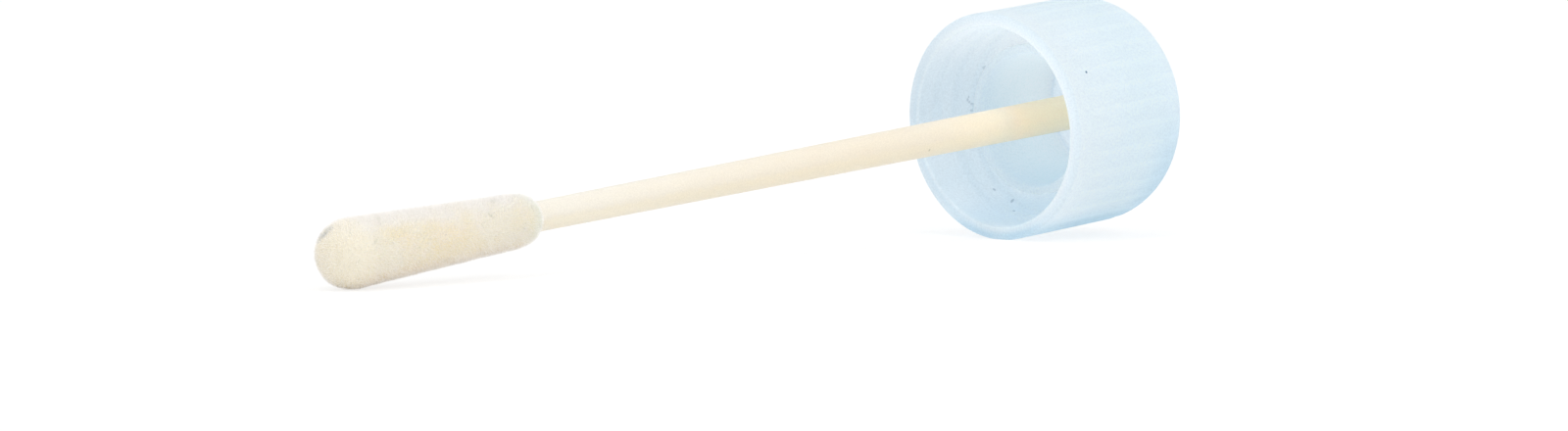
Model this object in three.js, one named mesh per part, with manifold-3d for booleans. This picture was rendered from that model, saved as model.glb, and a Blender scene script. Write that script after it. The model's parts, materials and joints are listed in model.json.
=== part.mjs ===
// Specimen swab fixed in its screw cap, lying on its side as it rests on a table.
//
// Three pieces share one axis:
//   screw_cap    moulded polypropylene cap with grip ribs, a plug seal and a socket for the shaft
//   swab_shaft   tapered plastic shaft, pressed into the cap's socket
//   swab_bud     flocked fibre bud, closed over the shaft's thin end
//
// Every piece is made around its local Y axis. Y is 0 at the cap's mouth, grows towards the cap's
// closed end and is negative along the shaft. One turned group then lays the swab down, with the
// closed end towards +X and the bud towards -X. Units are millimetres, and Z is up.

import * as THREE from 'three';
import { mergeVertices } from 'three/addons/utils/BufferGeometryUtils.js';
import Module from 'manifold-3d';

const wasm = await Module();
wasm.setup();

// Cap shell
const capRadius = 8.5; // outside, at the mouth
const capHeight = 13.6;
const capDraft = 0.03; // radius lost between the mouth and the closed end
const skirtWall = 1.0;
const endWall = 1.2;
const crownRound = 3.5; // outer rounding at the closed end
const rimRound = 0.25; // both edges of the mouth

// Grip ribs: shallow flutes cut the outside and leave narrow ribs between them
const ribCount = 33;
const ribWidth = 0.42;
const fluteDepth = 0.12;
const smoothBand = 1.4; // plain band between the mouth and the flutes
const ribAngle = 38.4; // degrees from the top, towards -Y

// Plug seal: a ring that enters the tube's bore
const plugRadius = 5.65;
const plugWall = 0.65;
const plugFront = 4.0; // its front edge, below the mouth
const plugRound = 0.2;

// Socket for the shaft
const socketFront = 10.6; // its front edge, below the mouth
const socketWall = 0.75;
const socketFloor = 0.9; // material left behind the shaft's end
const seatGap = 0.3; // clearance kept between two touching pieces

// Shaft
const shaftCapRadius = 1.28; // at the cap's mouth
const shaftBudRadius = 1.07; // where it enters the bud

// Bud
const swabReach = 67.9; // from the cap's mouth to the bud's end
const budLength = 19.8;
const budTipRadius = 2.5;
const budBaseRadius = 2.0;
const budShoulder = 2.25; // rounding at the shaft's side
const budEndWall = 1.6; // fibre in front of the shaft's end

// Facets
const capFacets = ribCount; // the lowest lies flat on the table
const fluteFacets = 24; // in the whole circle of the cutter
const shaftFacets = 24;
const budFacets = capFacets; // so that cap and bud come to rest together
const arcSteps = 2;

const overlap = 0.3; // how far joined solids of one piece reach into each other
const endFace = capHeight - endWall;
const capBore = capRadius - skirtWall;
const budNeck = budLength - swabReach; // where the bud starts, on Y

// The shaft tapers evenly from the mouth to the bud's neck and on, at the same slope, to both ends.
function shaftRadius(y) {
  return THREE.MathUtils.lerp(shaftCapRadius, shaftBudRadius, y / budNeck);
}

// A profile drawn in radius and Y becomes a turned solid with an edge of its facets at the bottom.
function turned(path, facets) {
  const halfFacet = Math.PI / facets;
  return new THREE.LatheGeometry(path.getPoints(arcSteps), facets, Math.PI + halfFacet);
}

function toSolid(geometry) {
  const bare = geometry.clone();
  bare.deleteAttribute('normal');
  bare.deleteAttribute('uv');
  const merged = mergeVertices(bare, 1e-5);
  const corners = merged.index.array;
  const triangles = [];
  for (let i = 0; i < corners.length; i += 3) {
    const [a, b, c] = corners.slice(i, i + 3);
    if (a !== b && b !== c && c !== a) triangles.push(a, b, c);
  }
  return new wasm.Manifold(new wasm.Mesh({
    numProp: 3,
    vertProperties: new Float32Array(merged.attributes.position.array),
    triVerts: new Uint32Array(triangles),
  }));
}

function toGeometry(solid) {
  const { vertProperties, triVerts } = solid.getMesh();
  const geometry = new THREE.BufferGeometry();
  geometry.setAttribute('position', new THREE.BufferAttribute(vertProperties, 3));
  geometry.setIndex(new THREE.BufferAttribute(triVerts, 1));
  geometry.computeVertexNormals();
  return geometry;
}

// ---- Cap ----

function capShell() {
  const crownRadius = capRadius - capDraft;
  const innerRound = crownRound - skirtWall;
  const path = new THREE.Path();
  path.moveTo(0, endFace);
  path.lineTo(capBore - innerRound, endFace);
  path.absarc(capBore - innerRound, endFace - innerRound, innerRound, Math.PI / 2, 0, true);
  path.lineTo(capBore, rimRound);
  path.absarc(capBore + rimRound, rimRound, rimRound, Math.PI, Math.PI * 1.5, false);
  path.lineTo(capRadius - rimRound, 0);
  path.absarc(capRadius - rimRound, rimRound, rimRound, Math.PI * 1.5, Math.PI * 2, false);
  path.lineTo(crownRadius, capHeight - crownRound);
  path.absarc(crownRadius - crownRound, capHeight - crownRound, crownRound, 0, Math.PI / 2, false);
  path.lineTo(0, capHeight);
  return toSolid(turned(path, capFacets));
}

function plugRing() {
  const inner = plugRadius - plugWall;
  const root = endFace + overlap;
  const path = new THREE.Path();
  path.moveTo(inner, root);
  path.lineTo(inner, plugFront + plugRound);
  path.absarc(inner + plugRound, plugFront + plugRound, plugRound, Math.PI, Math.PI * 1.5, false);
  path.absarc(plugRadius - plugRound, plugFront + plugRound, plugRound, Math.PI * 1.5, Math.PI * 2, false);
  path.lineTo(plugRadius, root);
  path.lineTo(inner, root);
  return toSolid(turned(path, capFacets));
}

function cylinderBetween(radius, from, to, facets) {
  const cylinder = new THREE.CylinderGeometry(radius, radius, to - from, facets);
  cylinder.rotateY(Math.PI / facets);
  cylinder.translate(0, (from + to) / 2, 0);
  return toSolid(cylinder);
}

// Round cutters outside the cap leave shallow flutes. They start past the smooth band and run out
// where the crown rounds away.
function gripFlutes() {
  const pitch = 2 * Math.PI * capRadius / ribCount;
  const width = pitch - ribWidth;
  const bow = capRadius - Math.sqrt(capRadius ** 2 - (width / 2) ** 2);
  const sink = fluteDepth - bow;
  const cutterRadius = (width / 2) ** 2 / (2 * sink) + sink / 2;
  const reach = capRadius - fluteDepth + cutterRadius;
  const cutter = cylinderBetween(cutterRadius, smoothBand, capHeight, fluteFacets);
  const first = cutter.translate([0, 0, reach]);
  const flutes = [];
  for (let i = 0; i < ribCount; i += 1) {
    flutes.push(first.rotate([0, ribAngle + (i + 0.5) * 360 / ribCount, 0]));
  }
  return flutes;
}

function capGeometry() {
  const socketEnd = capHeight - socketFloor;
  const socketRadius = shaftRadius(socketFront) + seatGap;
  const boss = cylinderBetween(socketRadius + socketWall, socketFront, endFace + overlap, shaftFacets);
  const socket = cylinderBetween(socketRadius, socketFront - overlap, socketEnd, shaftFacets);
  let cap = capShell().add(plugRing()).add(boss).subtract(socket);
  for (const flute of gripFlutes()) cap = cap.subtract(flute);
  return toGeometry(cap);
}

// ---- Shaft and bud ----

function shaftGeometry() {
  const capEnd = capHeight - socketFloor - seatGap;
  const budEnd = -(swabReach - budEndWall - seatGap);
  const path = new THREE.Path();
  path.moveTo(0, budEnd);
  path.lineTo(shaftRadius(budEnd), budEnd);
  path.lineTo(shaftRadius(capEnd), capEnd);
  path.lineTo(0, capEnd);
  return turned(path, shaftFacets);
}

function budGeometry() {
  const tipCentre = budTipRadius - swabReach;
  const boreEnd = budEndWall - swabReach;
  const neckBore = shaftRadius(budNeck) + seatGap;
  const shoulderWidth = budBaseRadius - neckBore;
  const path = new THREE.Path();
  path.moveTo(0, -swabReach);
  path.absarc(0, tipCentre, budTipRadius, -Math.PI / 2, 0, false);
  path.absellipse(neckBore, budNeck - budShoulder, shoulderWidth, budShoulder, 0, Math.PI / 2, false);
  path.lineTo(shaftRadius(boreEnd) + seatGap, boreEnd);
  path.lineTo(0, boreEnd);
  return turned(path, budFacets);
}

function piece(name, geometry, color, roughness) {
  const material = new THREE.MeshStandardMaterial({ color, roughness, metalness: 0 });
  const mesh = new THREE.Mesh(geometry, material);
  mesh.name = name;
  return mesh;
}

// ---- Lying down ----

// The swab leans on two rounds: the mouth's outer edge and the bud's end. The table is their common
// tangent, and the tilt is its angle to the axis. A facet's middle lies closer to the axis than its
// corners do.
function restingTilt() {
  const flat = Math.cos(Math.PI / capFacets);
  const rise = (capRadius - rimRound) * flat;
  const drop = (budTipRadius - rimRound) * flat;
  const span = swabReach - budTipRadius + rimRound;
  return Math.acos(drop / Math.hypot(rise, span)) - Math.atan2(span, rise);
}

const swab = new THREE.Group();
swab.add(piece('screw_cap', capGeometry(), 0xd9e9f3, 0.4));
swab.add(piece('swab_shaft', shaftGeometry(), 0xf6eeda, 0.45));
swab.add(piece('swab_bud', budGeometry(), 0xefe6d2, 1.0));
swab.rotation.set(0, -restingTilt(), -Math.PI / 2);

// The origin is under the middle of the lying swab, on the table.
const part = new THREE.Group();
part.add(swab);
const box = new THREE.Box3().setFromObject(part, true);
const middle = box.getCenter(new THREE.Vector3());
swab.position.set(-middle.x, -middle.y, -box.min.z);

export default part;
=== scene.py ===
# A flocked specimen swab fixed in its screw cap, lying on a white table.
import json
import math

import bmesh
import bpy
from mathutils import Matrix, Vector


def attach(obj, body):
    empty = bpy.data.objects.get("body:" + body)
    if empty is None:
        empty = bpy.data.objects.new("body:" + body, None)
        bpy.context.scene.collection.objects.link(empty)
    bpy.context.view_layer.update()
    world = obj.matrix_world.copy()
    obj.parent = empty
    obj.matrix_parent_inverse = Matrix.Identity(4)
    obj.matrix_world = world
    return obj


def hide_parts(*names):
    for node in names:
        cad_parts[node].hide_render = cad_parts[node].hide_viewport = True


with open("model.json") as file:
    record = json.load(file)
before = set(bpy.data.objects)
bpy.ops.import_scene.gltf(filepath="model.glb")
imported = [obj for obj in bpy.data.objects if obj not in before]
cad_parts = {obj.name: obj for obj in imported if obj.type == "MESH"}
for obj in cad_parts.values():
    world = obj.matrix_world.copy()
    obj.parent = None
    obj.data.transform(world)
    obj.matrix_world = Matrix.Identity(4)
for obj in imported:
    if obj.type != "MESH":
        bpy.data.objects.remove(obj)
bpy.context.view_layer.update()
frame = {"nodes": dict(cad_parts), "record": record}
mounts = {mount["name"]: mount for mount in frame["record"]["mounts"]}
print("frame loaded:", sorted(frame["nodes"]))

# Swab space: millimetres, X up, Y towards the near side, Z along the shaft into the cap,
# 0 at the cap's mouth.
mm = 0.001
axis = Vector(mounts["cap_end"]["axis"]).normalized()
endPoint = Vector(mounts["cap_end"]["pos_m"])
capHeight = (endPoint - Vector(mounts["mouth_rim"]["pos_m"])).dot(axis) / mm
mouth = endPoint - axis * capHeight * mm
nearSide = Vector((0, -1, 0))
upSide = nearSide.cross(axis)
swabSpace = Matrix.Translation(mouth) @ Matrix((upSide, nearSide, axis)).transposed().to_4x4()


def linear(code):
    # sRGB hex to linear colour
    channels = [int(code[i : i + 2], 16) / 255 for i in (1, 3, 5)]
    return [c / 12.92 if c <= 0.04045 else ((c + 0.055) / 1.055) ** 2.4 for c in channels] + [1]


def addNode(tree, kind, settings=None, inputs=None):
    # adds a node, sets its properties, then links or sets its inputs
    node = tree.nodes.new(kind)
    for name, value in (settings or {}).items():
        setattr(node, name, value)
    for key, value in (inputs or {}).items():
        if isinstance(value, bpy.types.Node):
            value = value.outputs[0]
        if isinstance(value, bpy.types.NodeSocket):
            tree.links.new(value, node.inputs[key])
        else:
            node.inputs[key].default_value = value
    return node


def newTree(name, sizes):
    # a geometry tree with one named input for each size
    tree = bpy.data.node_groups.new(name, "GeometryNodeTree")
    tree.interface.new_socket("Geometry", in_out="INPUT", socket_type="NodeSocketGeometry")
    for size in sizes:
        tree.interface.new_socket(size, in_out="INPUT", socket_type="NodeSocketFloat")
    tree.interface.new_socket("Geometry", in_out="OUTPUT", socket_type="NodeSocketGeometry")
    return tree, tree.nodes.new("NodeGroupInput")


def runTree(piece, tree, sizes):
    # gives the tree its sizes and turns its result into the piece's plain mesh
    modifier = piece.modifiers.new(tree.name, "NODES")
    modifier.node_group = tree
    for item in tree.interface.items_tree:
        if item.in_out == "INPUT" and item.name in sizes:
            modifier[item.identifier] = float(sizes[item.name])
    depsgraph = bpy.context.evaluated_depsgraph_get()
    made = bpy.data.meshes.new_from_object(piece.evaluated_get(depsgraph))
    piece.modifiers.clear()
    old = piece.data
    piece.data = made
    bpy.data.meshes.remove(old)


def lathe(name, profile, segments):
    # spins (radius, depth) points round the swab's axis; a first or last point on the axis is a pole
    shape = bmesh.new()
    rings = []
    for radius, depth in profile:
        if radius < 1e-6:
            rings.append([shape.verts.new((0, 0, depth))] * segments)
            continue
        turns = [2 * math.pi * i / segments for i in range(segments)]
        places = [(radius * math.cos(a), radius * math.sin(a), depth) for a in turns]
        rings.append([shape.verts.new(place) for place in places])
    for low, high in zip(rings, rings[1:]):
        for i in range(segments):
            k = (i + 1) % segments
            corners = list(dict.fromkeys((low[i], low[k], high[k], high[i])))
            if len(corners) > 2:
                shape.faces.new(corners)
    bmesh.ops.recalc_face_normals(shape, faces=shape.faces)
    for face in shape.faces:
        face.smooth = True
    mesh = bpy.data.meshes.new(name)
    shape.to_mesh(mesh)
    shape.free()
    piece = bpy.data.objects.new(name, mesh)
    bpy.context.scene.collection.objects.link(piece)
    return piece


def arc(centre, radius, start, end, steps):
    # points of a rounding in a profile, angles in degrees
    angles = [math.radians(start + (end - start) * i / steps) for i in range(steps + 1)]
    return [(centre[0] + radius * math.cos(a), centre[1] + radius * math.sin(a)) for a in angles]


def stretch(start, end, steps):
    # evenly spaced points between two corners of a profile, without the corners
    across, along = end[0] - start[0], end[1] - start[1]
    return [(start[0] + across * i / steps, start[1] + along * i / steps) for i in range(1, steps)]


def finishPiece(piece, material, node):
    piece.data.transform(swabSpace @ Matrix.Scale(mm, 4))
    piece.data.materials.clear()
    piece.data.materials.append(material)
    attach(piece, "root")
    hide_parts(node)
    print(piece.name, len(piece.data.polygons), "faces")


def newMaterial(name):
    # a material with its Principled shader and swab-space coordinates in millimetres
    material = bpy.data.materials.new(name)
    material.use_nodes = True
    tree = material.node_tree
    shader = tree.nodes["Principled BSDF"]
    coordinates = addNode(tree, "ShaderNodeTexCoord")
    place = addNode(tree, "ShaderNodeMapping", {"vector_type": "TEXTURE"}, {
        "Vector": coordinates.outputs["Object"],
        "Location": mouth,
        "Rotation": swabSpace.to_euler(),
        "Scale": (mm, mm, mm),
    })
    return material, tree, shader, place


# camera, table and light

view = {  # degrees and millimetres
    "azimuth": -46.3,  # 0 looks along +Y
    "elevation": 3.95,
    "lens": 180,
    "sensor": 36,
    "mouthAt": (15.46, 6.565, 580.5),  # the mouth's centre from the camera: right, up, away
}


def addCamera():
    turn, rise = math.radians(view["azimuth"]), math.radians(view["elevation"])
    right = Vector((math.cos(turn), math.sin(turn), 0))
    level = math.cos(rise)
    back = Vector((math.sin(turn) * level, -math.cos(turn) * level, math.sin(rise)))
    up = back.cross(right)
    lens = bpy.data.cameras.new("camera")
    lens.lens = view["lens"]
    lens.sensor_width = view["sensor"]
    lens.clip_start = 0.01
    camera = bpy.data.objects.new("camera", lens)
    toRight, above, away = view["mouthAt"]
    spot = mouth + (back * away - right * toRight - up * above) * mm
    camera.matrix_world = Matrix.Translation(spot) @ Matrix((right, up, back)).transposed().to_4x4()
    bpy.context.scene.collection.objects.link(camera)
    bpy.context.scene.camera = camera


table = {
    "size": 3.0,  # metres
    "tint": "#f7f7f7",
    "roughness": 0.6,
    "glow": 0.75,  # the white it shows by itself
    "share": 0.26,  # and the grey that takes the shadow
}


def tableMaterial():
    # White acrylic sheet: it reads pure white, and the diffuse share keeps the soft shadow.
    material = bpy.data.materials.new("whiteAcrylicSheet")
    material.use_nodes = True
    tree = material.node_tree
    shader = tree.nodes["Principled BSDF"]
    shader.inputs["Base Color"].default_value = linear(table["tint"])
    shader.inputs["Roughness"].default_value = table["roughness"]
    output = tree.nodes["Material Output"]
    path = addNode(tree, "ShaderNodeLightPath")
    shadowed = addNode(tree, "ShaderNodeBsdfDiffuse", {}, {"Color": (table["share"],) * 3 + (1,)})
    glow = addNode(tree, "ShaderNodeEmission", {}, {"Color": (1, 1, 1, 1), "Strength": table["glow"]})
    seen = addNode(tree, "ShaderNodeAddShader", {}, {0: shadowed, 1: glow})
    glossyToo = addNode(tree, "ShaderNodeMath", {"operation": "MAXIMUM"}, {
        0: path.outputs["Is Camera Ray"], 1: path.outputs["Is Glossy Ray"]})
    throughToo = addNode(tree, "ShaderNodeMath", {"operation": "MAXIMUM"}, {
        0: glossyToo, 1: path.outputs["Is Transmission Ray"]})
    mix = addNode(tree, "ShaderNodeMixShader", {}, {0: throughToo, 1: shader, 2: seen})
    tree.links.new(mix.outputs[0], output.inputs["Surface"])
    return material


def addTable():
    half = table["size"] / 2
    mesh = bpy.data.meshes.new("table")
    corners = [(-half, -half, 0), (half, -half, 0), (half, half, 0), (-half, half, 0)]
    mesh.from_pydata(corners, [], [(0, 1, 2, 3)])
    floor = bpy.data.objects.new("table", mesh)
    bpy.context.scene.collection.objects.link(floor)
    mesh.materials.append(tableMaterial())


studio = {
    # brightness of the white tent on the side of the lamps and on the other
    "nearSide": 1.055,
    "farSide": 0.8,
    "tentAxis": (0.01, -0.86, 0.52),  # towards its brighter side
    # name: place, watts, size in metres; each looks at the swab
    "lamps": {
        "overheadHead": ((-0.20, -0.10, 0.72), 0.6, 0.07),
        "frontHead": ((-0.03, -0.52, 0.50), 0.55, 0.04),
    },
}


def addStudio():
    world = bpy.data.worlds.new("studio")
    bpy.context.scene.world = world
    world.use_nodes = True
    tree = world.node_tree
    path = addNode(tree, "ShaderNodeLightPath")
    soft = tree.nodes["Background"]
    soft.inputs["Color"].default_value = (1, 1, 1, 1)
    direction = addNode(tree, "ShaderNodeTexCoord")
    towards = addNode(tree, "ShaderNodeVectorMath", {"operation": "DOT_PRODUCT"}, {
        0: direction.outputs["Generated"], 1: studio["tentAxis"]})
    level = addNode(tree, "ShaderNodeMapRange", {"interpolation_type": "SMOOTHSTEP"}, {
        "Value": towards.outputs["Value"], "From Min": -1, "From Max": 1,
        "To Min": studio["farSide"], "To Max": studio["nearSide"]})
    tree.links.new(level.outputs[0], soft.inputs["Strength"])
    white = addNode(tree, "ShaderNodeBackground", {}, {"Color": (1, 1, 1, 1), "Strength": 1})
    mix = addNode(tree, "ShaderNodeMixShader", {}, {
        0: path.outputs["Is Camera Ray"], 1: soft, 2: white})
    tree.links.new(mix.outputs[0], tree.nodes["World Output"].inputs["Surface"])
    for name, (place, watts, size) in studio["lamps"].items():
        lamp = bpy.data.lights.new(name, "AREA")
        lamp.energy = watts
        lamp.size = size
        box = bpy.data.objects.new(name, lamp)
        box.location = place
        box.rotation_euler = Vector(place).to_track_quat("Z", "Y").to_euler()
        bpy.context.scene.collection.objects.link(box)
    bpy.context.scene.view_settings.view_transform = "Standard"


addCamera()
addTable()
addStudio()
bpy.context.scene.cycles.diffuse_bounces = 16  # light crosses the cap's thin walls many times
bpy.context.scene.cycles.max_bounces = 24
print("camera, table and lamps placed")

# screw cap

cap = {
    "radius": 8.5,
    "draft": 0.03,  # radius lost towards the closed end
    "wall": 1.0,
    "endWall": 1.2,
    "crown": 3.5,  # outer rounding at the closed end
    "rim": 0.25,  # rounding of both edges of the mouth
    "plugRadius": 5.65,
    "plugWall": 0.65,
    "plugFront": 4.0,
    "plugRound": 0.2,
    "plugFoot": 1.0,  # from the end face to where the bore's rounding meets the plug
    "bossRadius": 2.3,
    "bossFront": 10.6,
    "bossRound": 0.25,
    "socketFloor": 0.9,
    "socketClearance": 0.02,
    "socketEdge": 0.05,
    "threadedTo": 8.6,  # depths to which the rows lie close, for the thread inside
    "fadedTo": 2.4,  # and for the flutes' ends outside
    "ribs": 33,
    "facetsPerRib": 12,
}
flutes = {
    "Rib count": cap["ribs"],
    "Rib share": 0.30,  # of the spacing, left between two flutes
    "Rib angle": 38.4,  # degrees from the top towards the near side
    "Flute depth": 0.12,
    "Smooth band": 1.2,
    "Band fade": 0.5,
    "Cap radius": cap["radius"],
}
thread = {
    "Pitch": 2.2,
    "Turns": 2.5,
    "Start depth": 1.75,
    "Start angle": 239.5,
    "Height": 0.35,
    "Root": 1.2,
    "Crest": 0.5,
    "Run out": 0.05,  # turns
}

shaft = {
    "capRadius": 1.28,  # at the cap's mouth
    "budRadius": 1.07,  # at the bud's neck
    "reach": 67.9,  # from the mouth to the bud's end
    "budLength": 19.8,
    "buried": 4.0,  # length inside the bud
    "segments": 96,
}


def shaftRadius(depth):
    neck = shaft["budLength"] - shaft["reach"]
    return shaft["capRadius"] + (shaft["budRadius"] - shaft["capRadius"]) * depth / neck


def capProfile():
    # one closed outline: socket, boss, end face, plug ring, bore, mouth, outside, closed end
    outer, bore = cap["radius"], cap["radius"] - cap["wall"]
    endFace = capHeight - cap["endWall"]
    innerRound = cap["crown"] - cap["wall"]
    crownRadius = outer - cap["draft"]
    plugInner = cap["plugRadius"] - cap["plugWall"]
    socketEnd = capHeight - cap["socketFloor"]
    socket = shaftRadius(cap["bossFront"]) + cap["socketClearance"]
    soft, rim, front = cap["plugRound"], cap["rim"], cap["plugFront"]
    bossSoft = cap["bossRound"]
    roundCentre = (bore - innerRound, endFace - innerRound)
    meet = math.degrees(math.acos((cap["plugRadius"] - roundCentre[0]) / innerRound))
    socketEdge = cap["socketEdge"]
    points = [(0, socketEnd), (socket / 2, socketEnd), (socket, socketEnd)]
    points += stretch((socket, socketEnd), (socket, cap["bossFront"]), 4)
    points += [(socket, cap["bossFront"] + socketEdge), (socket + socketEdge, cap["bossFront"])]
    points += arc((cap["bossRadius"] - bossSoft, cap["bossFront"] + bossSoft), bossSoft, -90, 0, 4)
    points += arc((cap["bossRadius"] + bossSoft, endFace - bossSoft), bossSoft, 180, 90, 4)
    points += stretch((cap["bossRadius"] + bossSoft, endFace), (plugInner - soft, endFace), 4)
    points += arc((plugInner - soft, endFace - soft), soft, 90, 0, 3)
    points += stretch((plugInner, endFace - soft), (plugInner, front + soft), 8)
    points += arc((plugInner + soft, front + soft), soft, 180, 270, 4)
    points += arc((cap["plugRadius"] - soft, front + soft), soft, -90, 0, 4)
    plugEnd = endFace - cap["plugFoot"]
    points += stretch((cap["plugRadius"], front + soft), (cap["plugRadius"], plugEnd), 8)
    points += arc(roundCentre, innerRound, meet, 0, 8)
    points += stretch((bore, endFace - innerRound), (bore, cap["threadedTo"]), 3)
    points += stretch((bore, cap["threadedTo"]), (bore, rim), 84)
    points += arc((bore + rim, rim), rim, 180, 270, 6)
    points += stretch((bore + rim, 0), (outer - rim, 0), 4)
    points += arc((outer - rim, rim), rim, -90, 0, 6)
    points += stretch((outer, rim), (outer, cap["fadedTo"]), 14)
    points += stretch((outer, cap["fadedTo"]), (crownRadius, capHeight - cap["crown"]), 12)
    flatRadius = crownRadius - cap["crown"]
    points += arc((flatRadius, capHeight - cap["crown"]), cap["crown"], 0, 90, 22)
    points += [(flatRadius * part, capHeight) for part in (0.9, 0.6, 0.3, 0)]
    return points


def capTree():
    # narrow grip ribs outside and a one-start ridge inside, as offsets of the radius
    tree, group = newTree("capRelief", [*flutes, *thread])
    size = group.outputs
    position = addNode(tree, "GeometryNodeInputPosition")
    parts = addNode(tree, "ShaderNodeSeparateXYZ", {}, {0: position})
    x, y, depth = parts.outputs
    flat = addNode(tree, "ShaderNodeCombineXYZ", {}, {0: x, 1: y})
    radius = addNode(tree, "ShaderNodeVectorMath", {"operation": "LENGTH"}, {0: flat}).outputs["Value"]
    angle = addNode(tree, "ShaderNodeMath", {"operation": "ARCTAN2"}, {0: y, 1: x})
    turn = addNode(tree, "ShaderNodeMath", {"operation": "DIVIDE"}, {0: angle, 1: 2 * math.pi})
    # flutes: a shallow parabola between two ribs, nothing on the rib itself
    ribTurn = addNode(tree, "ShaderNodeMath", {"operation": "DIVIDE"}, {0: size["Rib angle"], 1: 360})
    fromRib = addNode(tree, "ShaderNodeMath", {"operation": "SUBTRACT"}, {0: turn, 1: ribTurn})
    count = addNode(tree, "ShaderNodeMath", {"operation": "MULTIPLY"}, {
        0: fromRib, 1: size["Rib count"]})
    share = addNode(tree, "ShaderNodeMath", {"operation": "FRACT"}, {0: count})
    centred = addNode(tree, "ShaderNodeMath", {"operation": "MULTIPLY_ADD"}, {
        0: share, 1: 2, 2: -1})
    half = addNode(tree, "ShaderNodeMath", {"operation": "SUBTRACT"}, {0: 1, 1: size["Rib share"]})
    across = addNode(tree, "ShaderNodeMath", {"operation": "DIVIDE"}, {0: centred, 1: half})
    bowl = addNode(tree, "ShaderNodeMath", {"operation": "MULTIPLY"}, {0: across, 1: across})
    hollow = addNode(tree, "ShaderNodeMath", {"operation": "SUBTRACT", "use_clamp": True}, {
        0: 1, 1: bowl})
    bandEnd = addNode(tree, "ShaderNodeMath", {}, {0: size["Smooth band"], 1: size["Band fade"]})
    past = addNode(tree, "ShaderNodeMapRange", {"interpolation_type": "SMOOTHSTEP"}, {
        "Value": depth, "From Min": size["Smooth band"], "From Max": bandEnd})
    masked = addNode(tree, "ShaderNodeMath", {"operation": "MULTIPLY"}, {0: hollow, 1: past})
    cut = addNode(tree, "ShaderNodeMath", {"operation": "MULTIPLY"}, {0: masked, 1: size["Flute depth"]})
    limit = addNode(tree, "ShaderNodeMath", {"operation": "SUBTRACT"}, {0: size["Cap radius"], 1: cut})
    # thread: how many turns past its start a point lies, and how far from the ridge's middle
    startTurn = addNode(tree, "ShaderNodeMath", {"operation": "DIVIDE"}, {0: size["Start angle"], 1: 360})
    fromStart = addNode(tree, "ShaderNodeMath", {"operation": "SUBTRACT"}, {0: turn, 1: startTurn})
    partTurn = addNode(tree, "ShaderNodeMath", {"operation": "FRACT"}, {0: fromStart})
    below = addNode(tree, "ShaderNodeMath", {"operation": "SUBTRACT"}, {0: depth, 1: size["Start depth"]})
    steps = addNode(tree, "ShaderNodeMath", {"operation": "DIVIDE"}, {0: below, 1: size["Pitch"]})
    climb = addNode(tree, "ShaderNodeMath", {"operation": "SUBTRACT"}, {0: steps, 1: partTurn})
    whole = addNode(tree, "ShaderNodeMath", {"operation": "ROUND"}, {0: climb})
    along = addNode(tree, "ShaderNodeMath", {}, {0: whole, 1: partTurn})
    astray = addNode(tree, "ShaderNodeMath", {"operation": "SUBTRACT"}, {0: climb, 1: whole})
    drift = addNode(tree, "ShaderNodeMath", {"operation": "ABSOLUTE"}, {0: astray})
    offset = addNode(tree, "ShaderNodeMath", {"operation": "MULTIPLY"}, {0: drift, 1: size["Pitch"]})
    crest = addNode(tree, "ShaderNodeMath", {"operation": "MULTIPLY"}, {0: size["Crest"], 1: 0.5})
    root = addNode(tree, "ShaderNodeMath", {"operation": "MULTIPLY"}, {0: size["Root"], 1: 0.5})
    flank = addNode(tree, "ShaderNodeMapRange", {"interpolation_type": "SMOOTHSTEP"}, {
        "Value": offset, "From Min": crest, "From Max": root, "To Min": 1, "To Max": 0})
    rise = addNode(tree, "ShaderNodeMapRange", {"interpolation_type": "SMOOTHSTEP"}, {
        "Value": along, "From Min": 0, "From Max": size["Run out"]})
    left = addNode(tree, "ShaderNodeMath", {"operation": "SUBTRACT"}, {0: size["Turns"], 1: along})
    fall = addNode(tree, "ShaderNodeMapRange", {"interpolation_type": "SMOOTHSTEP"}, {
        "Value": left, "From Min": 0, "From Max": size["Run out"]})
    ends = addNode(tree, "ShaderNodeMath", {"operation": "MULTIPLY"}, {0: rise, 1: fall})
    ridge = addNode(tree, "ShaderNodeMath", {"operation": "MULTIPLY"}, {0: flank, 1: ends})
    tall = addNode(tree, "ShaderNodeMath", {"operation": "MULTIPLY"}, {0: ridge, 1: size["Height"]})
    # only points within 0.01 mm of the bore's radius are raised
    bore = addNode(tree, "ShaderNodeMath", {"operation": "SUBTRACT"}, {
        0: size["Cap radius"], 1: cap["wall"]})
    onBore = addNode(tree, "ShaderNodeMath", {"operation": "COMPARE"}, {0: radius, 1: bore, 2: 0.01})
    bump = addNode(tree, "ShaderNodeMath", {"operation": "MULTIPLY"}, {0: tall, 1: onBore})
    raised = addNode(tree, "ShaderNodeMath", {"operation": "SUBTRACT"}, {0: radius, 1: bump})
    wanted = addNode(tree, "ShaderNodeMath", {"operation": "MINIMUM"}, {0: raised, 1: limit})
    # a pole has no radius to divide by
    safe = addNode(tree, "ShaderNodeMath", {"operation": "MAXIMUM"}, {0: radius, 1: 1e-5})
    ratio = addNode(tree, "ShaderNodeMath", {"operation": "DIVIDE"}, {0: wanted, 1: safe})
    scaled = addNode(tree, "ShaderNodeVectorMath", {"operation": "SCALE"}, {0: flat, "Scale": ratio})
    lift = addNode(tree, "ShaderNodeCombineXYZ", {}, {2: depth})
    moved = addNode(tree, "ShaderNodeVectorMath", {"operation": "ADD"}, {0: scaled, 1: lift})
    placed = addNode(tree, "GeometryNodeSetPosition", {}, {
        "Geometry": size["Geometry"], "Position": moved})
    real = addNode(tree, "GeometryNodeRealizeInstances", {}, {0: placed})
    coated = addNode(tree, "GeometryNodeSetMaterial", {}, {
        "Geometry": real, "Material": capMaterial})
    addNode(tree, "NodeGroupOutput", {}, {0: coated})
    return tree


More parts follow.
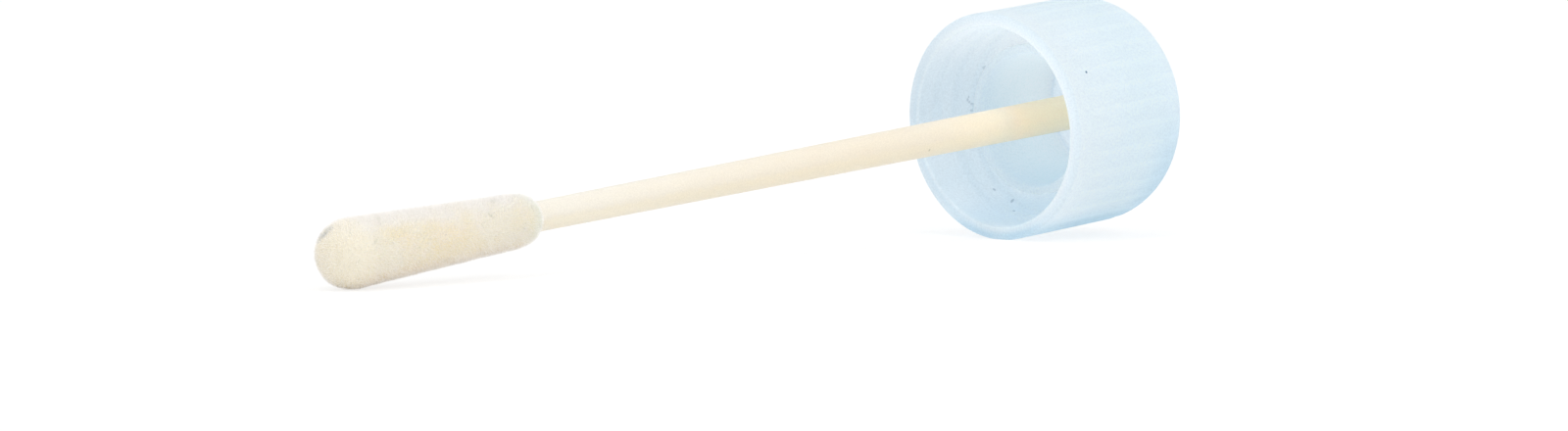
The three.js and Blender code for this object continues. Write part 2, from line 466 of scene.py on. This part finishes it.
plastic = {
    # light sent back by the surface and light let through it, each for the wall, its thin inner parts,
    # paler also as painted light, and its patches of painted shade, bluer and darker
    "face": ("#f0fafe", "#fbfeff", "#dae8f4"),
    "through": ("#f7fbff", "#fcffff", "#d6eaf5"),
    "share": (0.85, 1.0, 0.84),  # of the light, let through
    "skin": (-0.75, -0.35),  # from the outer radius, where the outside's tints take over
    # the thin inner parts, with painted light in the plug's deep recess: from the plug's outside, from its
    # front edge and from the boss's front
    "thinAround": (0.1, 0.6),
    "thinFront": (-0.2, 2.5),
    "thinBack": (0.8, 1.6),
    # patches of painted shade, bluer and darker: where each starts to grow, where it is full, and how
    # strong it is then
    "shadeUnder": (-6.4, -8.0, 0.85),  # height from the axis, outside: painted shade underneath
    "shadeCorner": (1.5, -5.0, 0.7),  # height from the axis: painted shade towards the bottom, where the crown's corner is also thick
    "cornerDepth": (7.5, 11.5),  # depths between which it thickens
    "shadeCrown": (-2.2, -0.3, 0.6),  # from the closed end's face: painted shade, bluer towards it
    "shadeRim": (0.3, 0.1, 0.2),  # from the mouth's face: painted shade round the rim
    "shadeBore": (2.5, 6.8, 0.45),  # from the axis towards the far low side: painted shade on the bore's lower wall
    "farLow": (-0.2, -0.98, 0),
    "boreFade": (6.0, 9.0),  # depths between which that ends
    "shadeEnd": (-0.4, -0.1, 0.35),  # from the end face inside: painted shade in that recess
    "endSkin": 0.5,  # from the closed end's face, what still counts as outside
    "cloudiness": 0.3,
    "cloudsPerMm": 0.25,
    # a painted highlight on the ribs' tops: parts of half a spacing, brightening, and mm past the smooth
    # band
    "ribHighlight": (0.6, 0.85, 0.025),
    "ribHighlightFrom": 1.5,
    "grain": 0.055,  # brighter and darker
    "grainsPerMm": 6.5,
    # a waxy surface in patches, and a polished ring: mm from the bore's edge, inset, roughness and share
    "roughness": (0.34, 0.46),
    "waxPatchesPerMm": 1.6,
    "polishedRing": (0.1, 0.22),
    "polishedInset": 0.07,
    "polishedRoughness": 0.14,
    "polishedShare": 0.6,
}
noiseLow, noiseHigh = 0.25, 0.75  # a noise texture hardly leaves these
# dust moulded in or stuck on: angle in degrees from the top towards the near side, depth, radius, strength
outsideSpecks = [(61.5, 2.36, 0.11, 1.0)]
boreSpecks = [
    (-138.7, 5.15, 0.15, 0.4), (-151.5, 5.5, 0.13, 0.4), (-165.0, 3.8, 0.13, 0.55),
    (-61.5, 6.35, 0.22, 0.25),
    # a lint fibre in seven touching spots
    (-80.5, 5.6, 0.11, 0.28), (-82.2, 5.5, 0.14, 0.3), (-83.6, 5.7, 0.12, 0.26), (-84.9, 5.9, 0.12, 0.26),
    (-86.2, 6.0, 0.12, 0.26), (-87.5, 6.0, 0.12, 0.26), (-88.7, 5.85, 0.12, 0.26),
]
speckTint = "#5f7f98"


def speckMask(tree, place, spots):
    # 0 outside the small round spots, each a place, a radius and how strong its middle is
    mask = None
    for centre, radius, strength in spots:
        away = addNode(tree, "ShaderNodeVectorMath", {"operation": "DISTANCE"}, {0: place, 1: centre})
        spot = addNode(tree, "ShaderNodeMapRange", {"interpolation_type": "SMOOTHSTEP"}, {
            "Value": away.outputs["Value"], "From Min": radius * 0.5, "From Max": radius * 1.2,
            "To Min": strength, "To Max": 0.0})
        if mask:
            spot = addNode(tree, "ShaderNodeMath", {"operation": "MAXIMUM"}, {0: mask, 1: spot})
        mask = spot
    return mask


def onRound(radius, angle, depth):
    turn = math.radians(angle)
    return (radius * math.cos(turn), radius * math.sin(turn), depth)


def polypropylene():
    # Polypropylene, injection moulded with a pale blue masterbatch: waxy, and its thin walls let light
    # through.
    material, tree, shader, place = newMaterial("mouldedPolypropylene")
    parts = addNode(tree, "ShaderNodeSeparateXYZ", {}, {0: place})
    x, y, depth = parts.outputs
    flat = addNode(tree, "ShaderNodeCombineXYZ", {}, {0: x, 1: y})
    radius = addNode(tree, "ShaderNodeVectorMath", {"operation": "LENGTH"}, {0: flat}).outputs["Value"]
    around, front, back = (plastic[name] for name in ("thinAround", "thinFront", "thinBack"))
    # paler and more see-through inside the plug ring: its thin walls, and painted light deep in that recess
    core = addNode(tree, "ShaderNodeMapRange", {}, {
        "Value": radius, "To Min": 1.0, "To Max": 0.0,
        "From Min": cap["plugRadius"] + around[0], "From Max": cap["plugRadius"] + around[1]})
    behind = addNode(tree, "ShaderNodeMapRange", {"interpolation_type": "SMOOTHSTEP"}, {
        "Value": depth, "From Min": cap["plugFront"] + front[0], "From Max": cap["plugFront"] + front[1]})
    ahead = addNode(tree, "ShaderNodeMapRange", {"interpolation_type": "SMOOTHSTEP"}, {
        "Value": depth, "From Min": cap["bossFront"] + back[0], "From Max": cap["bossFront"] + back[1],
        "To Min": 1.0, "To Max": 0.0})
    between = addNode(tree, "ShaderNodeMath", {"operation": "MULTIPLY"}, {0: behind, 1: ahead})
    thinAndLit = addNode(tree, "ShaderNodeMath", {"operation": "MULTIPLY"}, {0: core, 1: between})
    onWall = addNode(tree, "ShaderNodeMath", {"operation": "SUBTRACT"}, {0: 1.0, 1: core})
    skinStart, skinEnd = plastic["skin"]
    outside = addNode(tree, "ShaderNodeMapRange", {}, {
        "Value": radius, "From Min": cap["radius"] + skinStart, "From Max": cap["radius"] + skinEnd})
    # the masterbatch is unevenly mixed, cloudy over 4 mm; the patches below are painted shade, bluer and
    # darker
    cloud = addNode(tree, "ShaderNodeTexNoise", {}, {
        "Vector": place, "Scale": plastic["cloudsPerMm"], "Detail": 3.0, "Roughness": 0.55})
    cloudy = addNode(tree, "ShaderNodeMath", {"operation": "MULTIPLY_ADD"}, {
        0: cloud, 1: plastic["cloudiness"], 2: -plastic["cloudiness"] / 2})
    farLow = addNode(tree, "ShaderNodeVectorMath", {"operation": "DOT_PRODUCT"}, {
        0: flat, 1: plastic["farLow"]})
    endFace = capHeight - cap["endWall"]
    patches = {}
    for name, along, zero in (
            ("shadeUnder", x, 0), ("shadeCorner", x, 0), ("shadeCrown", depth, capHeight),
            ("shadeRim", depth, 0), ("shadeBore", farLow.outputs["Value"], 0), ("shadeEnd", depth, endFace)):
        start, end, most = plastic[name]
        patches[name] = addNode(tree, "ShaderNodeMapRange", {"interpolation_type": "SMOOTHSTEP"}, {
            "Value": along, "From Min": zero + start, "From Max": zero + end, "To Max": most})
    cornerStart, cornerEnd = plastic["cornerDepth"]
    corner = addNode(tree, "ShaderNodeMapRange", {"interpolation_type": "SMOOTHSTEP"}, {
        "Value": depth, "From Min": cornerStart, "From Max": cornerEnd})
    thickCornerShade = addNode(tree, "ShaderNodeMath", {"operation": "MULTIPLY"}, {
        0: patches["shadeCorner"], 1: corner})
    ends = addNode(tree, "ShaderNodeMath", {"operation": "MAXIMUM"}, {
        0: patches["shadeCrown"], 1: patches["shadeRim"]})
    sides = addNode(tree, "ShaderNodeMath", {"operation": "MAXIMUM"}, {0: patches["shadeUnder"], 1: thickCornerShade})
    outer = addNode(tree, "ShaderNodeMath", {"operation": "MAXIMUM"}, {0: sides, 1: ends})
    fadeStart, fadeEnd = plastic["boreFade"]
    fade = addNode(tree, "ShaderNodeMapRange", {"interpolation_type": "SMOOTHSTEP"}, {
        "Value": depth, "From Min": fadeStart, "From Max": fadeEnd, "To Min": 1.0, "To Max": 0.0})
    faded = addNode(tree, "ShaderNodeMath", {"operation": "MULTIPLY"}, {0: patches["shadeBore"], 1: fade})
    inner = addNode(tree, "ShaderNodeMath", {"operation": "MULTIPLY"}, {0: faded, 1: onWall})
    # the end face's painted shade keeps to the inside of the end wall
    indoors = addNode(tree, "ShaderNodeMath", {"operation": "LESS_THAN"}, {
        0: depth, 1: capHeight - plastic["endSkin"]})
    onEnd = addNode(tree, "ShaderNodeMath", {"operation": "MULTIPLY"}, {
        0: patches["shadeEnd"], 1: indoors})
    innerShade = addNode(tree, "ShaderNodeMath", {"operation": "MAXIMUM"}, {0: inner, 1: onEnd})
    paintedShade = addNode(tree, "ShaderNodeMix", {"data_type": "FLOAT"}, {0: outside, 2: innerShade, 3: outer})
    cloudsAndShade = addNode(tree, "ShaderNodeMath", {"use_clamp": True}, {0: paintedShade, 1: cloudy})
    # spots in the bore reach through the thread's height, so they are measured on one radius
    bore = cap["radius"] - cap["wall"]
    toBore = addNode(tree, "ShaderNodeMath", {"operation": "DIVIDE"}, {0: bore, 1: radius})
    levelled = addNode(tree, "ShaderNodeVectorMath", {"operation": "SCALE"}, {0: flat, "Scale": toBore})
    lifted = addNode(tree, "ShaderNodeCombineXYZ", {}, {2: depth})
    onBore = addNode(tree, "ShaderNodeVectorMath", {}, {0: levelled, 1: lifted})
    outsidePlaces = [(onRound(cap["radius"], *spot[:2]), *spot[2:]) for spot in outsideSpecks]
    borePlaces = [(onRound(bore, *spot[:2]), *spot[2:]) for spot in boreSpecks]
    outerSpots = speckMask(tree, place, outsidePlaces)
    innerSpots = speckMask(tree, onBore, borePlaces)
    wallSpots = addNode(tree, "ShaderNodeMath", {"operation": "MULTIPLY"}, {0: innerSpots, 1: onWall})
    specks = addNode(tree, "ShaderNodeMix", {"data_type": "FLOAT"}, {
        0: outside, 2: wallSpots, 3: outerSpots})
    # a painted highlight along the ribs' tops
    angle = addNode(tree, "ShaderNodeMath", {"operation": "ARCTAN2"}, {0: y, 1: x})
    count = addNode(tree, "ShaderNodeMath", {"operation": "MULTIPLY_ADD"}, {
        0: angle, 1: cap["ribs"] / (2 * math.pi), 2: -cap["ribs"] * flutes["Rib angle"] / 360})
    spacing = addNode(tree, "ShaderNodeMath", {"operation": "FRACT"}, {0: count})
    centred = addNode(tree, "ShaderNodeMath", {"operation": "MULTIPLY_ADD"}, {
        0: spacing, 1: 2.0, 2: -1.0})
    fromFlute = addNode(tree, "ShaderNodeMath", {"operation": "ABSOLUTE"}, {0: centred})
    ribStart, ribFull, brighter = plastic["ribHighlight"]
    onRib = addNode(tree, "ShaderNodeMapRange", {"interpolation_type": "SMOOTHSTEP"}, {
        "Value": fromFlute, "From Min": ribStart, "From Max": ribFull})
    band = flutes["Smooth band"]
    pastBand = addNode(tree, "ShaderNodeMapRange", {"interpolation_type": "SMOOTHSTEP"}, {
        "Value": depth, "From Min": band, "From Max": band + plastic["ribHighlightFrom"], "To Max": brighter})
    ribHighlight = addNode(tree, "ShaderNodeMath", {"operation": "MULTIPLY"}, {0: onRib, 1: pastBand})
    ribHighlightOut = addNode(tree, "ShaderNodeMath", {"operation": "MULTIPLY"}, {0: ribHighlight, 1: outside})
    # grain of the spark-eroded mould, 0.15 mm
    fine = addNode(tree, "ShaderNodeTexNoise", {}, {
        "Vector": place, "Scale": plastic["grainsPerMm"], "Detail": 1.0})
    grain = addNode(tree, "ShaderNodeMapRange", {}, {
        "Value": fine, "From Min": noiseLow, "From Max": noiseHigh,
        "To Min": 1 - plastic["grain"], "To Max": 1 + plastic["grain"]})
    grainy = addNode(tree, "ShaderNodeMath", {}, {0: grain, 1: ribHighlightOut})
    blends = []
    # the tints turn towards the painted shade colours where the patches of painted shade lie
    for body, thinAndLitTint, shadeTint in (plastic["face"], plastic["through"]):
        depthTint = addNode(tree, "ShaderNodeMix", {"data_type": "RGBA"}, {
            0: thinAndLit, 6: linear(body), 7: linear(thinAndLitTint)})
        tint = addNode(tree, "ShaderNodeMix", {"data_type": "RGBA"}, {
            0: cloudsAndShade, 6: depthTint.outputs[2], 7: linear(shadeTint)})
        specked = addNode(tree, "ShaderNodeMix", {"data_type": "RGBA"}, {
            0: specks, 6: tint.outputs[2], 7: linear(speckTint)})
        mottled = addNode(tree, "ShaderNodeVectorMath", {"operation": "SCALE"}, {
            0: specked.outputs[2], "Scale": grainy})
        limited = addNode(tree, "ShaderNodeVectorMath", {"operation": "MINIMUM"}, {
            0: mottled, 1: (1, 1, 1)})
        blends.append(limited.outputs[0])
    tree.links.new(blends[0], shader.inputs["Base Color"])
    shader.inputs["IOR"].default_value = 1.49
    shader.inputs["Specular IOR Level"].default_value = 1.0
    # waxy all over, with a polished line round the bore's edge, where the core pin met it
    waxy = addNode(tree, "ShaderNodeTexNoise", {}, {
        "Vector": place, "Scale": plastic["waxPatchesPerMm"], "Detail": 2.0})
    smoothest, roughest = plastic["roughness"]
    gloss = addNode(tree, "ShaderNodeMapRange", {}, {
        "Value": waxy, "To Min": smoothest, "To Max": roughest})
    ring = addNode(tree, "ShaderNodeCombineXYZ", {}, {0: radius, 2: depth})
    inset = plastic["polishedInset"]
    edge = addNode(tree, "ShaderNodeVectorMath", {"operation": "DISTANCE"}, {
        0: ring, 1: (bore + inset, 0, inset)})
    ringStart, ringEnd = plastic["polishedRing"]
    polished = addNode(tree, "ShaderNodeMapRange", {"interpolation_type": "SMOOTHSTEP"}, {
        "Value": edge.outputs["Value"], "From Min": ringStart, "From Max": ringEnd})
    finish = addNode(tree, "ShaderNodeMix", {"data_type": "FLOAT"}, {
        0: polished, 2: plastic["polishedRoughness"], 3: gloss})
    tree.links.new(finish.outputs[0], shader.inputs["Roughness"])
    bodyShare, innerShare, shadeShare = plastic["share"]
    depthShare = addNode(tree, "ShaderNodeMapRange", {}, {
        "Value": thinAndLit, "To Min": bodyShare, "To Max": innerShare})
    even = addNode(tree, "ShaderNodeMix", {"data_type": "FLOAT"}, {0: cloudsAndShade, 2: depthShare, 3: shadeShare})
    share = addNode(tree, "ShaderNodeMix", {"data_type": "FLOAT"}, {
        0: polished, 2: plastic["polishedShare"], 3: even})
    through = addNode(tree, "ShaderNodeBsdfTranslucent", {}, {"Color": blends[1]})
    both = addNode(tree, "ShaderNodeMixShader", {}, {0: share, 1: shader, 2: through})
    tree.links.new(both.outputs[0], tree.nodes["Material Output"].inputs["Surface"])
    return material


def layTints(tree, tint, layers):
    # lays tints over a first one: each has its colour, how its edge runs, where that starts, where the tint
    # is full and how strong it is then, and besides what the edge runs along and where that has its zero
    for (code, edge, start, full, most), along, zero in layers:
        amount = addNode(tree, "ShaderNodeMapRange", {"interpolation_type": edge}, {
            "Value": along, "From Min": zero + start, "From Max": zero + full, "To Max": most})
        laid = addNode(tree, "ShaderNodeMix", {"data_type": "RGBA"}, {0: amount, 6: tint, 7: linear(code)})
        tint = laid.outputs[2]
    return tint


shaftFinish = {
    "middle": "#e4dbca",
    "atBud": ("#e5e0d5", "LINEAR", -15, -45, 1.0),  # depths, and so for the next two
    # painted light: lighter towards the mouth, against the shade of the cap
    "litAtMouth": ("#ede0c8", "SMOOTHSTEP", -9, -1, 1.0),
    # painted light inside the cap: warmer and brighter
    "inCapLight": ("#ffe3c4", "SMOOTHSTEP", 0.3, 2.3, 1.0),
    "under": ("#efe4c6", "SMOOTHSTEP", 0.15, -0.35, 0.3),  # heights from a wavy middle line
    "waviness": 0.5,  # mm, of that line
    "mottlesPerMm": 2.5,
    "grain": 0.05,
    "grainsPerMm": 9.0,
    "speck": "#7c7a4c",
    "speckAt": (118.5, -8.2, 0.11, 0.45),  # angle, depth, radius and strength
    "radius": (1.0, 1.0, 0.9),  # how far red, green and blue spread inside, times the spread
    "spread": 0.0007,  # metres
    "roughness": 0.42,
}


def shaftPlastic():
    # Polystyrene, injection moulded, uncoloured cream: smooth with a soft sheen.
    material, tree, shader, place = newMaterial("mouldedPolystyrene")
    parts = addNode(tree, "ShaderNodeSeparateXYZ", {}, {0: place})
    height, depth = parts.outputs["X"], parts.outputs["Z"]
    # yellower below a wavy line along the middle, and finely mottled; lighter near the mouth and warmer in
    # the cap as painted light
    fine = addNode(tree, "ShaderNodeTexNoise", {}, {
        "Vector": place, "Scale": shaftFinish["mottlesPerMm"], "Detail": 2.0})
    wavy = addNode(tree, "ShaderNodeMath", {"operation": "MULTIPLY_ADD"}, {
        0: fine, 1: shaftFinish["waviness"], 2: -shaftFinish["waviness"] / 2})
    line = addNode(tree, "ShaderNodeMath", {}, {0: height, 1: wavy})
    tintsAndPaintedLight = layTints(tree, linear(shaftFinish["middle"]), [
        (shaftFinish["atBud"], depth, 0),
        # painted light: lighter near the mouth, and warmer and brighter inside the cap
        (shaftFinish["litAtMouth"], depth, 0),
        (shaftFinish["inCapLight"], depth, 0),
        (shaftFinish["under"], line, 0),
    ])
    angle, speckDepth, speckRadius, strength = shaftFinish["speckAt"]
    speckPlace = onRound(shaftRadius(speckDepth), angle, speckDepth)
    spot = speckMask(tree, place, [(speckPlace, speckRadius, strength)])
    specked = addNode(tree, "ShaderNodeMix", {"data_type": "RGBA"}, {
        0: spot, 6: tintsAndPaintedLight, 7: linear(shaftFinish["speck"])})
    texture = addNode(tree, "ShaderNodeTexNoise", {}, {
        "Vector": place, "Scale": shaftFinish["grainsPerMm"], "Detail": 1.0})
    grainy = addNode(tree, "ShaderNodeMapRange", {}, {
        "Value": texture, "From Min": noiseLow, "From Max": noiseHigh,
        "To Min": 1 - shaftFinish["grain"], "To Max": 1 + shaftFinish["grain"]})
    mottled = addNode(tree, "ShaderNodeVectorMath", {"operation": "SCALE"}, {
        0: specked.outputs[2], "Scale": grainy})
    tree.links.new(mottled.outputs[0], shader.inputs["Base Color"])
    shader.inputs["Subsurface Weight"].default_value = 1.0
    shader.inputs["Subsurface Radius"].default_value = shaftFinish["radius"]
    shader.inputs["Subsurface Scale"].default_value = shaftFinish["spread"]
    shader.inputs["Roughness"].default_value = shaftFinish["roughness"]
    return material


fibres = {
    "cream": "#f6f3e8",
    "straw": ("#f6efd7", "LINEAR", 0.42, 0.62, 1.0),  # levels of a noise, as for rose and dust
    "rose": ("#f8f3ed", "LINEAR", 0.5, 0.72, 0.7),
    "topSheen": ("#f7f6f5", "SMOOTHSTEP", 0.7, 1.9, 0.8),  # heights from the axis: a painted sheen, greyer along the top
    "under": ("#f4ecdf", "SMOOTHSTEP", -0.9, -2.1, 0.7),  # and browner below: painted shade where it lies
    "tipLight": ("#fcf9ee", "SMOOTHSTEP", 3.6, 1.4, 0.75),  # mm from the tip: painted light, paler towards it
    "neckSheen": ("#f0f5ee", "SMOOTHSTEP", -2.2, -0.2, 0.7),  # mm from the neck: a painted grey-green sheen towards it
    "tips": ("#fdfcfb", "LINEAR", 0.0, 0.5, 1.0),  # part of a fibre's length
    "dust": ("#ccd0c6", "LINEAR", 0.68, 0.8, 0.35),
    "smudge": "#bcc4cc",
    # a grey smudge across the top of the tip in three touching spots: place, radius and strength
    "smudgeSpots": [
        ((1.3, -1.05, -67.2), 0.4, 0.2),
        ((1.65, -0.7, -67.1), 0.45, 0.3),
        ((1.95, -0.45, -66.85), 0.4, 0.2),
    ],
    "strawPatchesPerMm": 0.32,
    "rosePatchesPerMm": 0.45,
    "waviness": 1.6,  # mm, of the edges along the top and below
    "crumbsPerMm": 1.5,
    "share": 0.2,  # of the light, let through
    "roughness": 0.9,
}


def flockedNylon():
    # Nylon flock, short undyed fibres shot upright on to the tip: matt and velvety, with clear pale ends
    # over a creamier depth and straw and rose patches where the pile lies differently; a painted sheen
    # along the top and a grey-green one at the neck, painted light at the tip and painted shade below.
    material, tree, shader, place = newMaterial("flockedNylon")
    parts = addNode(tree, "ShaderNodeSeparateXYZ", {}, {0: place})
    height, depth = parts.outputs["X"], parts.outputs["Z"]
    patches = addNode(tree, "ShaderNodeTexNoise", {}, {
        "Vector": place, "Scale": fibres["strawPatchesPerMm"], "Detail": 3.0, "Roughness": 0.6})
    # the rosy patches come from another part of the noise
    shifted = addNode(tree, "ShaderNodeVectorMath", {}, {0: place, 1: (31, 17, 5)})
    blush = addNode(tree, "ShaderNodeTexNoise", {}, {
        "Vector": shifted, "Scale": fibres["rosePatchesPerMm"], "Detail": 3.0, "Roughness": 0.6})
    wavy = addNode(tree, "ShaderNodeMath", {"operation": "MULTIPLY_ADD"}, {
        0: blush, 1: fibres["waviness"], 2: -fibres["waviness"] / 2})
    level = addNode(tree, "ShaderNodeMath", {}, {0: height, 1: wavy})
    upFibre = addNode(tree, "ShaderNodeAttribute", {"attribute_name": "upFibre"})
    # crumbs of dust caught in the pile, 0.2 to 0.4 mm across
    crumbs = addNode(tree, "ShaderNodeTexNoise", {}, {
        "Vector": place, "Scale": fibres["crumbsPerMm"], "Detail": 1.0})
    dustAndPaintedLight = layTints(tree, linear(fibres["cream"]), [
        (fibres["straw"], patches, 0),
        (fibres["rose"], blush, 0),
        # painted sheen along the top and painted shade below; then painted light at the tip and a painted
        # sheen at the neck
        (fibres["topSheen"], level, 0),
        (fibres["under"], level, 0),
        (fibres["tipLight"], depth, -shaft["reach"]),
        (fibres["neckSheen"], depth, shaft["budLength"] - shaft["reach"]),
        (fibres["tips"], upFibre.outputs["Fac"], 0),
        (fibres["dust"], crumbs, 0),
    ])
    touched = speckMask(tree, place, fibres["smudgeSpots"])
    smudged = addNode(tree, "ShaderNodeMix", {"data_type": "RGBA"}, {
        0: touched, 6: dustAndPaintedLight, 7: linear(fibres["smudge"])})
    tree.links.new(smudged.outputs[2], shader.inputs["Base Color"])
    shader.inputs["Roughness"].default_value = fibres["roughness"]
    shader.inputs["Specular IOR Level"].default_value = 0.3
    through = addNode(tree, "ShaderNodeBsdfTranslucent", {}, {"Color": smudged.outputs[2]})
    both = addNode(tree, "ShaderNodeMixShader", {}, {0: fibres["share"], 1: shader, 2: through})
    tree.links.new(both.outputs[0], tree.nodes["Material Output"].inputs["Surface"])
    return material


capMaterial = polypropylene()
shaftMaterial = shaftPlastic()
budMaterial = flockedNylon()

screwCap = lathe("screwCap", capProfile(), cap["ribs"] * cap["facetsPerRib"])
runTree(screwCap, capTree(), {**flutes, **thread})
finishPiece(screwCap, capMaterial, "screw_cap")


def shaftProfile():
    # the shaft stops just short of the socket's floor
    socketEnd = capHeight - cap["socketFloor"] - cap["socketClearance"]
    inBud = shaft["budLength"] - shaft["reach"] - shaft["buried"]
    low, high = (shaftRadius(inBud), inBud), (shaftRadius(socketEnd), socketEnd)
    return [(0, inBud), low, *stretch(low, high, 40), high, (0, socketEnd)]


swabShaft = lathe("swabShaft", shaftProfile(), shaft["segments"])
finishPiece(swabShaft, shaftMaterial, "swab_shaft")

# flocked bud
bud = {
    "tipRadius": 2.5,  # to the fibres' tips
    "baseRadius": 2.0,
    "shoulder": 2.25,
    "pile": 0.21,  # depth of the fibres
    "segments": 96,
    "holeClearance": 0.02,
    "holeSpare": 0.1,  # of the hole, past the shaft's end
    "tipZone": 3.0,  # length from the tip that is planted all over
    "growth": (0.65, 1.15),  # shortest and longest fibre, as a part of the fibre length
}
flock = {
    "Lump height": 0.035,
    "Lump size": 1.6,
    "Fibres per mm2": 150.0,
    "Fibre length": 0.25,
    "Fibre radius": 0.022,
    "Lean": 0.5,
    "Bare radius": shaftRadius(shaft["budLength"] - shaft["reach"]) + 0.12,
    "Table height": 0.01,
}


def budProfile():
    # outline from the tip's pole to the shoulder, then back along the hole that holds the shaft
    pile, reach = bud["pile"], shaft["reach"]
    radius, neck = bud["tipRadius"], shaft["budLength"] - reach
    base = (bud["baseRadius"] - pile, neck - bud["shoulder"])
    points = arc((0, radius - reach), radius - pile, -90, 0, 24)
    points += stretch((radius - pile, radius - reach), base, 70)
    hole = shaftRadius(neck) + bud["holeClearance"]
    wide, tall = base[0] - hole, bud["shoulder"] - pile
    shoulderSteps, holeSteps = 12, 4
    for i in range(shoulderSteps + 1):
        lean = math.pi / 2 * i / shoulderSteps
        points.append((hole + wide * math.cos(lean), base[1] + tall * math.sin(lean)))
    for i in range(1, holeSteps + 1):
        depth = neck - pile - (shaft["buried"] + bud["holeSpare"]) * i / holeSteps
        points.append((shaftRadius(depth) + bud["holeClearance"], depth))
    points.append((0, points[-1][1]))
    return points


def flockTree():
    # makes the core lumpy, plants leaning fibres all over it, and lets the table flatten those under it
    tree, group = newTree("flock", flock)
    size = group.outputs
    position = addNode(tree, "GeometryNodeInputPosition")
    normal = addNode(tree, "GeometryNodeInputNormal")
    parts = addNode(tree, "ShaderNodeSeparateXYZ", {}, {0: position})
    lumpScale = addNode(tree, "ShaderNodeMath", {"operation": "DIVIDE"}, {0: 1.0, 1: size["Lump size"]})
    lumps = addNode(tree, "ShaderNodeTexNoise", {}, {
        "Vector": position, "Scale": lumpScale, "Detail": 2.0})
    # the noise uses about half its range, so twice that brings the lumps to their full height
    around = addNode(tree, "ShaderNodeMapRange", {}, {"Value": lumps, "To Min": -2.0, "To Max": 2.0})
    flat = addNode(tree, "ShaderNodeCombineXYZ", {}, {0: parts.outputs["X"], 1: parts.outputs["Y"]})
    radius = addNode(tree, "ShaderNodeVectorMath", {"operation": "LENGTH"}, {0: flat}).outputs["Value"]
    # the hole for the shaft stays bare
    outside = addNode(tree, "ShaderNodeMath", {"operation": "GREATER_THAN"}, {
        0: radius, 1: size["Bare radius"]})
    nearTip = addNode(tree, "ShaderNodeMath", {"operation": "LESS_THAN"}, {
        0: parts.outputs["Z"], 1: -shaft["reach"] + bud["tipZone"]})
    planted = addNode(tree, "ShaderNodeMath", {"operation": "MAXIMUM"}, {0: outside, 1: nearTip})
    lump = addNode(tree, "ShaderNodeMath", {"operation": "MULTIPLY"}, {0: around, 1: size["Lump height"]})
    lumped = addNode(tree, "ShaderNodeMath", {"operation": "MULTIPLY"}, {0: lump, 1: planted})
    bulge = addNode(tree, "ShaderNodeVectorMath", {"operation": "SCALE"}, {0: normal, "Scale": lumped})
    core = addNode(tree, "GeometryNodeSetPosition", {}, {
        "Geometry": size["Geometry"], "Offset": bulge})
    roots = addNode(tree, "GeometryNodeDistributePointsOnFaces", {}, {
        "Mesh": core, "Selection": planted, "Density": size["Fibres per mm2"], "Seed": 3})
    fibre = addNode(tree, "GeometryNodeMeshCone", {}, {
        "Vertices": 3, "Radius Top": 0.0, "Radius Bottom": size["Fibre radius"],
        "Depth": size["Fibre length"]})
    faceted = addNode(tree, "GeometryNodeSetShadeSmooth", {}, {"Geometry": fibre, "Shade Smooth": False})
    upFibre = addNode(tree, "ShaderNodeMath", {"operation": "DIVIDE"}, {
        0: parts.outputs["Z"], 1: size["Fibre length"]})
    marked = addNode(tree, "GeometryNodeStoreNamedAttribute", {"data_type": "FLOAT", "domain": "POINT"}, {
        "Geometry": faceted, "Name": "upFibre", "Value": upFibre})
    spread = addNode(tree, "FunctionNodeRandomValue", {"data_type": "FLOAT_VECTOR"}, {
        0: (-1, -1, -1), 1: (1, 1, 1), "Seed": 5})
    leaning = addNode(tree, "ShaderNodeVectorMath", {"operation": "SCALE"}, {
        0: spread, "Scale": size["Lean"]})
    towards = addNode(tree, "ShaderNodeVectorMath", {}, {0: roots.outputs["Normal"], 1: leaning})
    upright = addNode(tree, "FunctionNodeAlignRotationToVector", {"axis": "Z"}, {"Vector": towards})
    shortest, longest = bud["growth"]
    growth = addNode(tree, "FunctionNodeRandomValue", {"data_type": "FLOAT"}, {
        2: shortest, 3: longest, "Seed": 9})
    pile = addNode(tree, "GeometryNodeInstanceOnPoints", {}, {
        "Points": roots, "Instance": marked, "Rotation": upright, "Scale": growth})
    real = addNode(tree, "GeometryNodeRealizeInstances", {}, {0: pile})
    whole = addNode(tree, "GeometryNodeJoinGeometry")
    tree.links.new(core.outputs[0], whole.inputs[0])
    tree.links.new(real.outputs[0], whole.inputs[0])
    above = addNode(tree, "ShaderNodeVectorMath", {"operation": "DOT_PRODUCT"}, {
        0: position, 1: (upSide.z, 0, axis.z)})
    height = addNode(tree, "ShaderNodeMath", {}, {0: above.outputs["Value"], 1: mouth.z / mm})
    short = addNode(tree, "ShaderNodeMath", {"operation": "SUBTRACT"}, {0: size["Table height"], 1: height})
    lift = addNode(tree, "ShaderNodeMath", {"operation": "MAXIMUM"}, {0: short, 1: 0.0})
    pushed = addNode(tree, "ShaderNodeCombineXYZ", {}, {0: lift})
    resting = addNode(tree, "GeometryNodeSetPosition", {}, {"Geometry": whole, "Offset": pushed})
    coated = addNode(tree, "GeometryNodeSetMaterial", {}, {
        "Geometry": resting, "Material": budMaterial})
    addNode(tree, "NodeGroupOutput", {}, {0: coated})
    return tree


swabBud = lathe("swabBud", budProfile(), bud["segments"])
runTree(swabBud, flockTree(), flock)
finishPiece(swabBud, budMaterial, "swab_bud")
